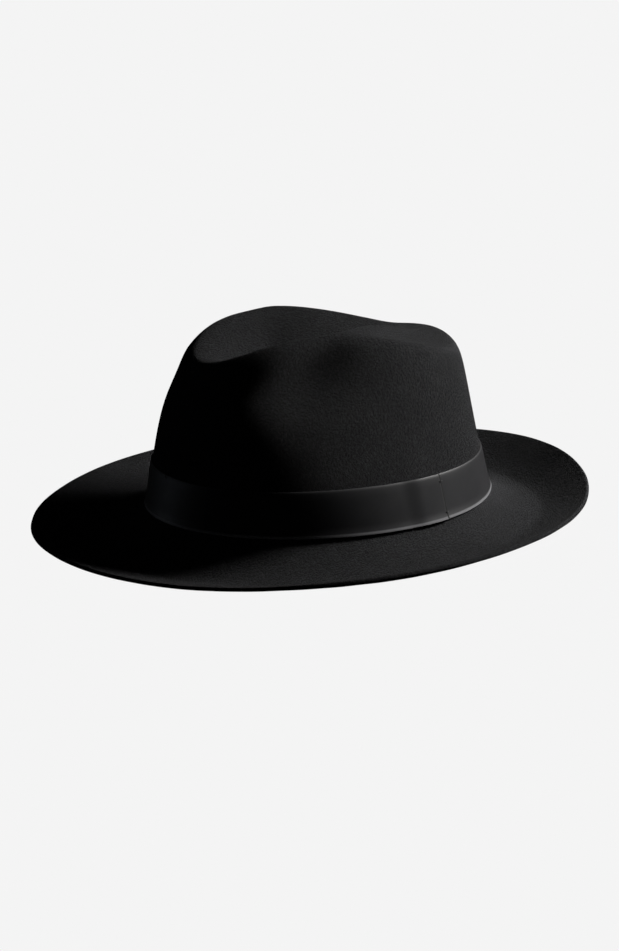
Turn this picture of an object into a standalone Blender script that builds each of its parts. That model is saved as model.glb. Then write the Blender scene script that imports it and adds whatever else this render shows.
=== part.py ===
"""Fedora hat: one felt body, a ribbon hatband, a leather sweatband and a satin lining.

Metres, +Z up. The wearer looks along -Y, and +X is the wearer's left. The hat stands on the trough
of its brim at Z = 0, and the brim's outline is centred on the origin.
"""

import math
from functools import lru_cache

import bmesh
import bpy
from mathutils import Matrix, Vector

# Head opening, measured inside the sweatband
HEAD_HALF_LENGTH = 0.0973
HEAD_HALF_WIDTH = 0.0827

# Thicknesses
FELT_THICKNESS = 0.0022
RIBBON_THICKNESS = 0.0008
LEATHER_THICKNESS = 0.0010
LINING_THICKNESS = 0.0004
FIT_GAP = 0.0003

# Crown. Values in brackets run round one side of the hat:
# back, rear quarter, side, fore quarter, front
CROWN_SHIFT = 0.0057
CROWN_HEIGHT = 0.1047
RIDGE_DROP = (0.0127, 0.0034, 0.0, 0.0043, 0.0146)
RIDGE_HALF_WIDTH = (0.0180, 0.0343, 0.0413, 0.0457, 0.0500)
RIDGE_ALONG = (0.0616, 0.0304, -0.0080, -0.0450, -0.0670)
SHOULDER_REACH = (0.132, 0.157, 0.016, 0.048, 0.007)
SHOULDER_SLOPE = (-0.14, -0.65, -0.11, -0.47, -0.24)
WALL_FULLNESS = (3.12, 3.90, 2.30, 1.32, 2.16)
WALL_LEAN = (0.234, 0.190, 0.245, 0.100, 0.181)

# Centre dent, and the hollow pinched under each ridge
DENT_DEPTH = 0.0110
DENT_CENTRE = -0.0205
DENT_STEEPNESS = 1.7
DENT_ROUNDING = 1.5
HOLLOW_DEPTH = 0.0073
HOLLOW_ANGLE = math.radians(119)
HOLLOW_SPREAD = math.radians(26)
HOLLOW_SHARE = 0.37
HOLLOW_SHARE_SPREAD = 0.155

# Brim
BRIM_HALF_LENGTH = 0.1621
BRIM_HALF_WIDTH = 0.1497
BREAK_HEIGHT = 0.0145
BREAK_DIP = (-0.0013, -0.0018, -0.0007, 0.0015, 0.0019)
BRIM_CURL = (0.0182, 0.0131, 0.0118, 0.0084, 0.0084)
TROUGH_SHARE = 0.53
CURL_POWER = 1.22

# Hatband
BAND_WIDTH = 0.0255
BAND_CLEARANCE = 0.0008
BAND_OUTER_END = math.radians(70)
BAND_INNER_END = math.radians(78)
BAND_RAMP = math.radians(7)
TACK_RADIUS = 0.0003
TACK_LENGTH = 0.0034
TACK_INSET = 0.0040

# Sweatband and what is sewn to it
SWEATBAND_WIDTH = 0.0340
SWEATBAND_BASE = 0.0010
SWEATBAND_SEAM = 0.0012
REED_RADIUS = 0.0006
TAPE_THICKNESS = 0.0003
TAPE_HEIGHT = 0.0050
STITCH_RADIUS = 0.00025
STITCH_HEIGHT = 0.0032
STITCH_SWING = 0.0007
STITCH_COUNT = 72
PATCH_HALF_WIDTH = 0.0070
PATCH_BASE = 0.0085
PATCH_HEIGHT = 0.0200
PATCH_THICKNESS = 0.0006
BOW_HALF_LENGTH = 0.0120
BOW_HALF_DEPTH = 0.0011
BOW_HEIGHT = 0.0060
BOW_THICKNESS = 0.0004
KNOT_HALF_LENGTH = 0.0022
LABEL_ANGLE = math.radians(34)
LABEL_HALF_WIDTH = 0.0130
LABEL_BASE = 0.0130
LABEL_HEIGHT = 0.0110
LABEL_THICKNESS = 0.0003

# Lining
LINING_TUCK = 0.0120
LINING_DROP = 0.0012
LINING_SAG = 0.0008
PIPING_RADIUS = 0.0007

# Mesh density
ROUND_STEPS = 48
STEP = 2 * math.pi / ROUND_STEPS
DENT_SHARES = (0.0, 0.2, 0.4, 0.58, 0.74, 0.87, 0.96)
SHOULDER_SHARES = (0.0, 0.07, 0.16, 0.28, 0.44, 0.64, 0.83)
LINING_SHARES = (1.0, 0.8, 0.6, 0.4, 0.2, 0.0)
BRIM_SHARES = (0.07, 0.2, 0.36, 0.53, 0.62, 0.72, 0.82, 0.92, 1.0)
CURVE_POINTS = 80

# Worked out from the sizes above
LINING_INSET = FELT_THICKNESS + FIT_GAP
SWEATBAND_INSET = LINING_INSET + LINING_THICKNESS + FIT_GAP
FELT_HALF_LENGTH = HEAD_HALF_LENGTH + SWEATBAND_INSET + LEATHER_THICKNESS
FELT_HALF_WIDTH = HEAD_HALF_WIDTH + SWEATBAND_INSET + LEATHER_THICKNESS
SWEATBAND_FACE = SWEATBAND_INSET + LEATHER_THICKNESS
TAPE_FACE = SWEATBAND_FACE + FIT_GAP + TAPE_THICKNESS
BAND_TOP = BAND_CLEARANCE + BAND_WIDTH
SWEATBAND_TOP = SWEATBAND_BASE + SWEATBAND_WIDTH
LINING_BASE = SWEATBAND_TOP - LINING_TUCK
BAND_HEIGHTS = (0.66 * LINING_BASE, 0.33 * LINING_BASE, 0.0)


def around(angle, values):
    """Smooth value at an angle from the back, through values spaced evenly from back to front."""
    last = len(values) - 1
    total = 0.0
    for wave in range(last + 1):
        weight = 0.0
        for place, value in enumerate(values):
            end_share = 0.5 if place in (0, last) else 1.0
            weight += end_share * value * math.cos(math.pi * place * wave / last)
        wave_share = 0.5 if wave in (0, last) else 1.0
        total += wave_share * weight * 2 / last * math.cos(wave * angle)
    return total


def break_point(angle):
    """Where the crown's outer face meets the brim."""
    height = BREAK_HEIGHT + around(angle, BREAK_DIP)
    return Vector((
        FELT_HALF_WIDTH * math.sin(angle),
        FELT_HALF_LENGTH * math.cos(angle) + CROWN_SHIFT,
        height,
    ))


def ridge_point(angle):
    """The ridge round the centre dent, where the crown is highest."""
    height = BREAK_HEIGHT + CROWN_HEIGHT - around(angle, RIDGE_DROP)
    return Vector((
        around(angle, RIDGE_HALF_WIDTH) * math.sin(angle),
        around(angle, RIDGE_ALONG),
        height,
    ))


def side_angle(angle):
    """The same angle on the wearer's left side, between 0 at the back and pi at the front."""
    turned = angle % (2 * math.pi)
    return min(turned, 2 * math.pi - turned)


def wall_point(angle, share):
    """A point on the crown's outer wall, from the ridge at share 0 to the break at share 1."""
    top = ridge_point(angle)
    foot = break_point(angle)
    outward = Vector((foot.x - top.x, foot.y - top.y, 0.0)).normalized()
    square_out = Vector((math.sin(angle) / FELT_HALF_WIDTH, math.cos(angle) / FELT_HALF_LENGTH, 0.0))
    square_out.normalize()
    reach = around(angle, SHOULDER_REACH)
    fall = around(angle, WALL_FULLNESS) * (top.z - foot.z)
    start = outward * reach + Vector((0.0, 0.0, around(angle, SHOULDER_SLOPE) * reach))
    finish = square_out * (around(angle, WALL_LEAN) * fall) - Vector((0.0, 0.0, fall))
    square, cube = share * share, share ** 3
    point = top * (2 * cube - 3 * square + 1) + start * (cube - 2 * square + share)
    point += foot * (3 * square - 2 * cube) + finish * (cube - square)
    near = math.exp(-((side_angle(angle) - HOLLOW_ANGLE) / HOLLOW_SPREAD) ** 2)
    level = math.exp(-((share - HOLLOW_SHARE) / HOLLOW_SHARE_SPREAD) ** 2)
    return point - outward * (HOLLOW_DEPTH * near * level)


@lru_cache(maxsize=None)
def wall_curve(angle):
    """The crown's wall at one angle, as points from the ridge down to the break."""
    return tuple(wall_point(angle, place / CURVE_POINTS) for place in range(CURVE_POINTS + 1))


def wall_at_height(angle, height):
    """The wall's outer face at a height above the break. Below the break it runs on straight."""
    curve = wall_curve(angle)
    level = curve[-1].z + height
    for upper, lower in zip(curve[-2::-1], curve[:0:-1]):
        if upper.z >= level:
            return lower.lerp(upper, (level - lower.z) / (upper.z - lower.z))
    return curve[0]


def wall_normal(angle, height):
    """The wall's outward direction."""
    spread = 0.02
    rise = 0.002
    along = wall_at_height(angle + spread, height) - wall_at_height(angle - spread, height)
    upward = wall_at_height(angle, height + rise) - wall_at_height(angle, height)
    return upward.cross(along).normalized()


def crown_at(angle, height, inset):
    """A point at a height above the break, and a distance in from the crown's outer face."""
    return wall_at_height(angle, height) - wall_normal(angle, height) * inset


def crown_frame(angle, height, inset):
    """Axes at a point inside the crown: X along the wall, Y in from it and Z up it."""
    inward = -wall_normal(angle, height)
    upward = wall_at_height(angle, height + 0.002) - wall_at_height(angle, height)
    upward.normalize()
    along = inward.cross(upward)
    axes = Matrix((along, inward, upward)).transposed().to_4x4()
    return Matrix.Translation(crown_at(angle, height, inset)) @ axes


def dent_floor(along):
    """Height of the dent's floor, from the ridge's front end to its back end."""
    front, back = ridge_point(math.pi), ridge_point(0.0)
    share = min(max((along - front.y) / (back.y - front.y), 0.0), 1.0)
    rise, fade = 0.9, 2.0
    deepest = rise / (rise + fade)
    peak = deepest ** rise * (1 - deepest) ** fade
    depth = DENT_DEPTH * share ** rise * (1 - share) ** fade / peak
    return front.z + (back.z - front.z) * share - depth


def dent_point(angle, share):
    """A point inside the ridge, from the dent's centre at share 0 to the ridge at share 1."""
    ridge = ridge_point(angle)
    along = DENT_CENTRE + (ridge.y - DENT_CENTRE) * share
    floor = dent_floor(along)
    climb = 1 - (1 - share ** DENT_STEEPNESS) ** DENT_ROUNDING
    return Vector((ridge.x * share, along, floor + (ridge.z - floor) * climb))


def brim_point(angle, share):
    """A point on the brim's upper face, from the break at share 0 to the cut edge at share 1."""
    foot = break_point(angle)
    edge = Vector((BRIM_HALF_WIDTH * math.sin(angle), BRIM_HALF_LENGTH * math.cos(angle), 0.0))
    trough = FELT_THICKNESS
    fall = 1 - (1 - min(share / TROUGH_SHARE, 1.0)) ** 2
    curl = max((share - TROUGH_SHARE) / (1 - TROUGH_SHARE), 0.0) ** CURL_POWER
    point = foot.lerp(edge, share)
    point.z = foot.z + (trough - foot.z) * fall + around(angle, BRIM_CURL) * curl
    return point


@lru_cache(maxsize=None)
def lining_top():
    """Height above the mean break of the lining's top edge, just under the dent's floor."""
    front, back = ridge_point(math.pi).y, ridge_point(0.0).y
    lowest = min(dent_floor(front + (back - front) * place / 40) for place in range(41))
    return lowest - FELT_THICKNESS - LINING_DROP - BREAK_HEIGHT


def lining_height(angle, share):
    """Height above the break of a level line on the lining, from its foot to its top edge."""
    top = lining_top() - around(angle, BREAK_DIP)
    return LINING_BASE + (top - LINING_BASE) * share


def felt_rings():
    """One function of the angle for each ring of the felt, from the dent's centre to the edge."""
    rings = []
    for share in DENT_SHARES:
        rings.append(lambda angle, share=share: dent_point(angle, share))
    for share in SHOULDER_SHARES:
        rings.append(lambda angle, share=share: shoulder_point(angle, share))
    for share in LINING_SHARES:
        rings.append(lambda angle, share=share: wall_at_height(angle, lining_height(angle, share)))
    for height in BAND_HEIGHTS:
        rings.append(lambda angle, height=height: wall_at_height(angle, height))
    for share in BRIM_SHARES:
        rings.append(lambda angle, share=share: brim_point(angle, share))
    return rings


def shoulder_point(angle, share):
    """A point on the wall between the ridge at share 0 and the lining's top edge at share 1."""
    curve = wall_curve(angle)
    floor = curve[-1].z + lining_height(angle, 1.0)
    upper = [point for point in curve if point.z > floor]
    place = share * (len(upper) - 1)
    start = min(int(place), len(upper) - 2)
    return upper[start].lerp(upper[start + 1], place - start)


def clear_scene():
    for item in list(bpy.data.objects):
        bpy.data.objects.remove(item, do_unlink=True)


def make_material(name, colour, roughness):
    material = bpy.data.materials.new(name)
    material.use_nodes = True
    shader = material.node_tree.nodes["Principled BSDF"]
    shader.inputs["Base Color"].default_value = (*colour, 1.0)
    shader.inputs["Roughness"].default_value = roughness
    shader.inputs["Metallic"].default_value = 0.0
    return material


def finish_part(item, name, material, collection):
    """Bake the modifiers, close the body with its faces out, and put it in the hat's collection."""
    depsgraph = bpy.context.evaluated_depsgraph_get()
    mesh = bpy.data.meshes.new_from_object(item.evaluated_get(depsgraph))
    mesh.transform(item.matrix_world)
    bpy.data.objects.remove(item, do_unlink=True)
    shape = bmesh.new()
    shape.from_mesh(mesh)
    bmesh.ops.remove_doubles(shape, verts=shape.verts, dist=0.000005)
    bmesh.ops.recalc_face_normals(shape, faces=shape.faces)
    shape.to_mesh(mesh)
    shape.free()
    mesh.name = name
    mesh.materials.clear()
    mesh.materials.append(material)
    mesh.shade_smooth()
    mesh.set_sharp_from_angle(angle=math.radians(40))
    part = bpy.data.objects.new(name, mesh)
    collection.objects.link(part)
    return part


def baked_mesh_object(item):
    """The same shape as a plain mesh object, with its modifiers applied."""
    depsgraph = bpy.context.evaluated_depsgraph_get()
    mesh = bpy.data.meshes.new_from_object(item.evaluated_get(depsgraph))
    bpy.data.objects.remove(item, do_unlink=True)
    baked = bpy.data.objects.new("blank", mesh)
    bpy.context.scene.collection.objects.link(baked)
    return baked


def turned_blank(profile, closed):
    """A profile in the XZ plane, turned once round the Z axis."""
    edges = [(place, place + 1) for place in range(len(profile) - 1)]
    if closed:
        edges.append((len(profile) - 1, 0))
    mesh = bpy.data.meshes.new("blank")
    mesh.from_pydata([(x, 0.0, z) for x, z in profile], edges, [])
    item = bpy.data.objects.new("blank", mesh)
    bpy.context.scene.collection.objects.link(item)
    screw = item.modifiers.new("turn", "SCREW")
    screw.steps = ROUND_STEPS
    screw.render_steps = ROUND_STEPS
    screw.use_merge_vertices = True
    screw.merge_threshold = 0.00001
    return baked_mesh_object(item)


def thicken(item, thickness, offset):
    solidify = item.modifiers.new("thickness", "SOLIDIFY")
    solidify.thickness = thickness
    solidify.offset = offset
    solidify.use_even_offset = True


def blank_angle(point):
    return math.atan2(point.x, point.y)


def felt_body(material, collection):
    """A round felt disc with one ring for each level of the block, pressed over the block."""
    rings = felt_rings()
    pitch = 0.01
    item = turned_blank([(ring * pitch, 0.0) for ring in range(len(rings))], closed=False)
    if item.data.polygons[0].normal.z < 0:
        item.data.flip_normals()
    for vertex in item.data.vertices:
        ring = round(math.hypot(vertex.co.x, vertex.co.y) / pitch)
        station = round(blank_angle(vertex.co) / STEP)
        vertex.co = rings[ring](station * STEP)
    thicken(item, FELT_THICKNESS, -1.0)
    return finish_part(item, "felt_body", material, collection)


def stations_between(start, end):
    """Angles from start to end that stop at each of the felt's own stations on the way."""
    least = STEP / 5
    first = math.ceil((start + least) / STEP)
    last = math.floor((end - least) / STEP)
    return [start] + [place * STEP for place in range(first, last + 1)] + [end]


def strip(name, angles, heights, inset, thickness, material, collection):
    """A strip laid round inside or outside the crown. inset(place) is how deep its outer face lies."""
    bpy.ops.mesh.primitive_grid_add(
        x_subdivisions=len(angles) - 1, y_subdivisions=len(heights) - 1, size=1.0)
    item = bpy.context.active_object
    for vertex in item.data.vertices:
        column = round((vertex.co.x + 0.5) * (len(angles) - 1))
        row = round((vertex.co.y + 0.5) * (len(heights) - 1))
        vertex.co = crown_at(angles[column], heights[row], inset(angles[column]))
    middle = item.data.polygons[0]
    angle = angles[0]
    inward = middle.normal.dot(wall_normal(angle, heights[0])) < 0
    thicken(item, thickness, 1.0 if inward else -1.0)
    return finish_part(item, name, material, collection)


def fitted_ring(name, section, material, collection):
    """A closed section of (inset, height) points, turned round and fitted to the crown's oval."""
    radius = 1.0
    item = turned_blank([(radius - inset, height) for inset, height in section], closed=True)
    for vertex in item.data.vertices:
        inset = radius - math.hypot(vertex.co.x, vertex.co.y)
        station = round(blank_angle(vertex.co) / STEP)
        vertex.co = crown_at(station * STEP, vertex.co.z, inset)
    return finish_part(item, name, material, collection)


def round_wire(name, points, radius, closed, material, collection):
    """A round wire or thread through the given points."""
    curve = bpy.data.curves.new(name, "CURVE")
    curve.dimensions = "3D"
    curve.bevel_depth = radius
    curve.bevel_resolution = 1
    curve.use_fill_caps = not closed
    spline = curve.splines.new("POLY")
    spline.points.add(len(points) - 1)
    for target, point in zip(spline.points, points):
        target.co = (*point, 1.0)
    spline.use_cyclic_u = closed
    item = bpy.data.objects.new(name, curve)
    bpy.context.scene.collection.objects.link(item)
    return finish_part(item, name, material, collection)


def hatband(material, collection):
    """One ribbon round the crown. Its outer end laps over its inner end on the wearer's left."""
    start = -BAND_INNER_END
    end = 2 * math.pi - BAND_OUTER_END
    climb_end = 2 * math.pi - BAND_INNER_END - math.radians(1)
    climb_start = climb_end - BAND_RAMP
    ply = RIBBON_THICKNESS + FIT_GAP

    def outer_face(angle):
        climb = min(max((angle - climb_start) / (climb_end - climb_start), 0.0), 1.0)
        return -(FIT_GAP + RIBBON_THICKNESS + ply * climb)

    angles = stations_between(start, climb_end)[:-1] + stations_between(climb_end, end)
    heights = [BAND_CLEARANCE + BAND_WIDTH * row / 3 for row in range(4)]
    mirrored = [-angle for angle in angles]
    return strip("hatband", mirrored, heights, lambda angle: outer_face(-angle),
                 RIBBON_THICKNESS, material, collection)


def band_tacks(material, collection):
    """Thread tacks: two hold down the lap's end, three hold the ribbon's top edge to the felt."""
    lift = FIT_GAP + TACK_RADIUS
    under = FIT_GAP + RIBBON_THICKNESS
    over = under + FIT_GAP + RIBBON_THICKNESS
    half_turn = 0.5 * TACK_LENGTH / FELT_HALF_LENGTH
    ease = lift / FELT_HALF_LENGTH
    lap_heights = {
        "lap_tack_upper": BAND_TOP - TACK_INSET,
        "lap_tack_lower": BAND_CLEARANCE + TACK_INSET,
    }
    for name, height in lap_heights.items():
        points = [
            crown_at(BAND_OUTER_END + half_turn, height, -(over + lift)),
            crown_at(BAND_OUTER_END - ease, height, -(over + lift)),
            crown_at(BAND_OUTER_END - 2 * ease, height, -(under + lift)),
            crown_at(BAND_OUTER_END - half_turn - ease, height, -(under + lift)),
        ]
        round_wire(name, points, TACK_RADIUS, False, material, collection)
    edge_angles = {"band_tack_front": math.pi, "band_tack_right": -math.pi / 2, "band_tack_back": 0.0}
    for name, angle in edge_angles.items():
        points = [
            crown_at(angle, BAND_TOP - 0.5 * TACK_LENGTH, -(under + lift)),
            crown_at(angle, BAND_TOP + lift, -(under + lift)),
            crown_at(angle, BAND_TOP + 2 * lift, -lift),
            crown_at(angle, BAND_TOP + 2 * lift + 0.3 * TACK_LENGTH, -lift),
        ]
        round_wire(name, points, TACK_RADIUS, False, material, collection)


def sweatband(material, collection):
    """A leather strip inside the crown, whose two ends meet at the back."""
    half_seam = 0.5 * SWEATBAND_SEAM / HEAD_HALF_WIDTH
    angles = stations_between(half_seam, 2 * math.pi - half_seam)
    heights = [SWEATBAND_BASE + SWEATBAND_WIDTH * row / 3 for row in range(4)]
    return strip("sweatband", angles, heights, lambda angle: SWEATBAND_INSET,
                 LEATHER_THICKNESS, material, collection)


def reed_centre():
    """Inset and height of the reed, under the sweatband's lower edge."""
    return SWEATBAND_INSET + 0.5 * LEATHER_THICKNESS, SWEATBAND_BASE - FIT_GAP - REED_RADIUS


def sweatband_reed(material, collection):
    inset, height = reed_centre()
    points = [crown_at(place * STEP, height, inset) for place in range(ROUND_STEPS)]
    return round_wire("sweatband_reed", points, REED_RADIUS, True, material, collection)


def reed_tape(material, collection):
    """A folded tape that wraps the reed and the sweatband's lower edge."""
    inset, height = reed_centre()
    half_inside = REED_RADIUS + FIT_GAP
    half_outside = half_inside + TAPE_THICKNESS
    top = SWEATBAND_BASE + TAPE_HEIGHT
    inner_floor = height - half_inside
    outer_floor = inner_floor - TAPE_THICKNESS
    section = [
        (inset - half_outside, top),
        (inset - half_outside, outer_floor),
        (inset + half_outside, outer_floor),
        (inset + half_outside, top),
        (inset + half_inside, top),
        (inset + half_inside, inner_floor),
        (inset - half_inside, inner_floor),
        (inset - half_inside, top),
    ]
    return fitted_ring("reed_tape", section, material, collection)


def sweatband_stitching(material, collection):
    """The zigzag thread that sews the tape to the sweatband."""
    inset = reed_centre()[0] + REED_RADIUS + 2 * FIT_GAP + TAPE_THICKNESS + STITCH_RADIUS
    points = []
    for place in range(2 * STITCH_COUNT):
        swing = STITCH_SWING if place % 2 else -STITCH_SWING
        angle = math.pi * place / STITCH_COUNT
        points.append(crown_at(angle, STITCH_HEIGHT + swing, inset))
    return round_wire("sweatband_stitching", points, STITCH_RADIUS, True, material, collection)


def rear_patch(material, collection):
    """A small leather patch over the sweatband's seam."""
    half_turn = PATCH_HALF_WIDTH / HEAD_HALF_WIDTH
    angles = [-half_turn, 0.0, half_turn]
    heights = [PATCH_BASE, PATCH_BASE + PATCH_HEIGHT]
    inset = SWEATBAND_FACE + FIT_GAP
    return strip("sweatband_rear_patch", angles, heights, lambda angle: inset,
                 PATCH_THICKNESS, material, collection)


def size_label(material, collection):
    """A small label on the sweatband's face."""
    half_turn = LABEL_HALF_WIDTH / HEAD_HALF_LENGTH
    angles = stations_between(LABEL_ANGLE - half_turn, LABEL_ANGLE + half_turn)
    heights = [LABEL_BASE, LABEL_BASE + LABEL_HEIGHT]
    inset = SWEATBAND_FACE + FIT_GAP
    return strip("size_label", angles, heights, lambda angle: inset,
                 LABEL_THICKNESS, material, collection)


def ribbon_loop(name, outline, half_width, place, material, collection):
    """A ribbon bent into a closed loop along a flat outline, and set at a place in the crown."""
    curve = bpy.data.curves.new(name, "CURVE")
    curve.dimensions = "3D"
    curve.extrude = half_width
    spline = curve.splines.new("POLY")
    spline.points.add(len(outline) - 1)
    for target, (x, y) in zip(spline.points, outline):
        target.co = (x, y, 0.0, 1.0)
    spline.use_cyclic_u = True
    item = bpy.data.objects.new(name, curve)
    bpy.context.scene.collection.objects.link(item)
    item = baked_mesh_object(item)
    thicken(item, BOW_THICKNESS, 0.0)
    item.matrix_world = place
    bpy.context.view_layer.update()
    return finish_part(item, name, material, collection)


def flat_loop_outline(half_length, half_depth, end_steps):
    """A long flat loop with round ends."""
    outline = []
    for side in (1, -1):
        for step in range(end_steps + 1):
            angle = side * (-math.pi / 2 + math.pi * step / end_steps)
            x = side * (half_length - half_depth + half_depth * math.cos(angle))
            outline.append((x, half_depth * math.sin(angle)))
    return outline


def sweatband_bow(material, collection):
    """A small flat bow at the back of the sweatband, held by a short band round its middle."""
    seat = SWEATBAND_FACE + 2 * FIT_GAP + PATCH_THICKNESS
    knot_wall = BOW_THICKNESS + FIT_GAP
    middle_inset = seat + BOW_THICKNESS + knot_wall + BOW_HALF_DEPTH
    height = PATCH_BASE + 0.35 * PATCH_HEIGHT
    place = crown_frame(0.0, height, middle_inset)
    outline = flat_loop_outline(BOW_HALF_LENGTH, BOW_HALF_DEPTH, 4)
    ribbon_loop("sweatband_bow", outline, 0.5 * BOW_HEIGHT, place, material, collection)
    knot_depth = BOW_HALF_DEPTH + knot_wall
    knot_rise = 0.5 * BOW_HEIGHT + FIT_GAP + 0.5 * BOW_THICKNESS
    knot_outline = [
        (-knot_rise, -knot_depth),
        (knot_rise, -knot_depth),
        (knot_rise, knot_depth),
        (-knot_rise, knot_depth),
    ]
    turn = Matrix.Rotation(math.pi / 2, 4, "Y")
    ribbon_loop("bow_knot", knot_outline, KNOT_HALF_LENGTH, place @ turn, material, collection)


def lining_wall(material, collection):
    """The lining's side, tucked behind the sweatband and rising to the tip."""
    inner = LINING_INSET + LINING_THICKNESS
    section = [(LINING_INSET, share) for share in LINING_SHARES]
    section += [(inner, share) for share in reversed(LINING_SHARES)]
    radius = 1.0
    item = turned_blank([(radius - inset, share) for inset, share in section], closed=True)
    for vertex in item.data.vertices:
        inset = radius - math.hypot(vertex.co.x, vertex.co.y)
        angle = round(blank_angle(vertex.co) / STEP) * STEP
        vertex.co = crown_at(angle, lining_height(angle, vertex.co.z), inset)
    return finish_part(item, "lining_wall", material, collection)


def tip_edge(angle, gap):
    """The tip's edge, just inside the top of the lining's side."""
    return crown_at(angle, lining_height(angle, 1.0), LINING_INSET + LINING_THICKNESS + gap)


def lining_tip(material, collection):
    """The oval panel that closes the lining under the dent."""
    rings = 4
    item = turned_blank([(ring / rings, 0.0) for ring in range(rings + 1)], closed=False)
    if item.data.polygons[0].normal.z < 0:
        item.data.flip_normals()
    centre = (tip_edge(0.0, FIT_GAP) + tip_edge(math.pi, FIT_GAP)) / 2
    for vertex in item.data.vertices:
        share = math.hypot(vertex.co.x, vertex.co.y)
        angle = round(blank_angle(vertex.co) / STEP) * STEP
        point = centre.lerp(tip_edge(angle, FIT_GAP), share)
        point.z -= LINING_SAG * (1 - share * share)
        vertex.co = point
    thicken(item, LINING_THICKNESS, -1.0)
    return finish_part(item, "lining_tip", material, collection)


def lining_piping(material, collection):
    """A round piping in the seam between the lining's side and its tip."""
    below = LINING_THICKNESS + FIT_GAP + PIPING_RADIUS + LINING_SAG
    points = []
    for place in range(ROUND_STEPS):
        angle = place * STEP
        inset = LINING_INSET + LINING_THICKNESS + FIT_GAP + PIPING_RADIUS
        points.append(crown_at(angle, lining_height(angle, 1.0) - below, inset))
    return round_wire("lining_piping", points, PIPING_RADIUS, True, material, collection)


def build_hat():
    clear_scene()
    hat = bpy.data.collections.new("fedora_hat")
    bpy.context.scene.collection.children.link(hat)
    felt_body(make_material("black_felt", (0.012, 0.012, 0.013), 0.95), hat)
    hatband(make_material("hatband_ribbon", (0.010, 0.010, 0.012), 0.45), hat)
    band_tacks(make_material("black_thread", (0.015, 0.015, 0.016), 0.7), hat)
    sweatband(make_material("sweatband_leather", (0.030, 0.020, 0.014), 0.5), hat)
    sweatband_reed(make_material("reed_plastic", (0.60, 0.58, 0.52), 0.4), hat)
    reed_tape(make_material("reed_tape", (0.020, 0.018, 0.018), 0.6), hat)
    sweatband_stitching(make_material("sweatband_thread", (0.10, 0.08, 0.06), 0.7), hat)
    rear_patch(make_material("patch_leather", (0.030, 0.020, 0.014), 0.5), hat)
    sweatband_bow(make_material("bow_ribbon", (0.012, 0.012, 0.014), 0.4), hat)
    size_label(make_material("label_paper", (0.75, 0.72, 0.64), 0.8), hat)
    lining_wall(make_material("lining_satin", (0.020, 0.020, 0.024), 0.3), hat)
    lining_tip(make_material("tip_satin", (0.020, 0.020, 0.024), 0.3), hat)
    lining_piping(make_material("piping_satin", (0.030, 0.030, 0.034), 0.4), hat)


build_hat()
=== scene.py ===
"""Fedora hat: the fine visual model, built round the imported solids."""

import math
from functools import lru_cache

import bmesh
import bpy
from mathutils import Matrix, Vector, noise


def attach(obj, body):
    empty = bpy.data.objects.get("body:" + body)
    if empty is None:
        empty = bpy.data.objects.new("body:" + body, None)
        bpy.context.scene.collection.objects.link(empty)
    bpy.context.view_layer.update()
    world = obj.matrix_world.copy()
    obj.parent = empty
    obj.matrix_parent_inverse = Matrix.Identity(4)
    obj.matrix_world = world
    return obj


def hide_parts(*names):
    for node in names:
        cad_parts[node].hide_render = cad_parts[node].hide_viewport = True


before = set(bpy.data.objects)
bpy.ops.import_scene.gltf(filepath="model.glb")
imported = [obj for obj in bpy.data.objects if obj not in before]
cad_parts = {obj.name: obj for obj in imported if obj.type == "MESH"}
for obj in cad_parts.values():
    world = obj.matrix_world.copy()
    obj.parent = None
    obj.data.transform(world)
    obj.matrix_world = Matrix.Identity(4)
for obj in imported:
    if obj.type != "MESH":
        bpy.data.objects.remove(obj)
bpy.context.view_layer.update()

# Sizes that the solids already have, in metres
HEAD_HALF_LENGTH = 0.0973
HEAD_HALF_WIDTH = 0.0827
FELT_THICKNESS = 0.0022
RIBBON_THICKNESS = 0.0008
LEATHER_THICKNESS = 0.0010
LINING_THICKNESS = 0.0004
FIT_GAP = 0.0003
LINING_INSET = FELT_THICKNESS + FIT_GAP
SWEATBAND_INSET = LINING_INSET + LINING_THICKNESS + FIT_GAP
SWEATBAND_FACE = SWEATBAND_INSET + LEATHER_THICKNESS
FELT_HALF_LENGTH = HEAD_HALF_LENGTH + SWEATBAND_FACE
FELT_HALF_WIDTH = HEAD_HALF_WIDTH + SWEATBAND_FACE
BRIM_HALF_LENGTH = 0.1621
BRIM_HALF_WIDTH = 0.1497

# The crown's block, as back, rear quarter, side, fore quarter and front values
CROWN_SHIFT = 0.0057
CROWN_HEIGHT = 0.1047
RIDGE_DROP = (0.0127, 0.0034, 0.0, 0.0043, 0.0146)
RIDGE_HALF_WIDTH = (0.0180, 0.0343, 0.0413, 0.0457, 0.0500)
RIDGE_ALONG = (0.0616, 0.0304, -0.0080, -0.0450, -0.0670)
SHOULDER_REACH = (0.132, 0.157, 0.016, 0.048, 0.007)
SHOULDER_SLOPE = (-0.14, -0.65, -0.11, -0.47, -0.24)
WALL_FULLNESS = (3.12, 3.90, 2.30, 1.32, 2.16)
WALL_LEAN = (0.234, 0.190, 0.245, 0.100, 0.181)
DENT_DEPTH = 0.0110
DENT_CENTRE = -0.0205
DENT_STEEPNESS = 1.7
DENT_ROUNDING = 1.5
HOLLOW_DEPTH = 0.0073
HOLLOW_ANGLE = math.radians(119)
HOLLOW_SPREAD = math.radians(26)
HOLLOW_SHARE = 0.37
HOLLOW_SHARE_SPREAD = 0.155
BREAK_HEIGHT = 0.0145
BREAK_DIP = (-0.0013, -0.0018, -0.0007, 0.0015, 0.0019)
BRIM_CURL = (0.0182, 0.0131, 0.0118, 0.0084, 0.0084)
TROUGH_SHARE = 0.53
CURL_POWER = 1.22

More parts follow.
